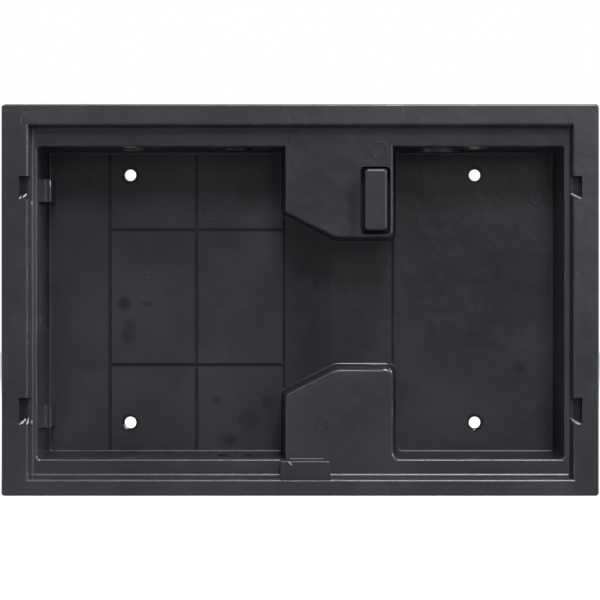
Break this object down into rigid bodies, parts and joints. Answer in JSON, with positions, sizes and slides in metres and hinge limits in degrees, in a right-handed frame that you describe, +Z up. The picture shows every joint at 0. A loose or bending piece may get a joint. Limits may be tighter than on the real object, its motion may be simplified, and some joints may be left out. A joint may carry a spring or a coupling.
{
  "type": "flush back box",
  "caption": "Moulded plastic flush back box for a wall panel, with a flat rim, ledge, deep cavity, cable channel between two blocks and knockouts.",
  "frame": {"origin": "middle of the rim's front face, where the wall panel seats", "axes": "+X to the right along the long side, +Y into the wall, +Z up"},
  "size_m": [0.216, 0.0496, 0.1416],
  "materials": {
    "housing": "satin moulded"
  },
  "bodies": {
    "root": {"back_box": "housing"}
  },
  "joints": []
}
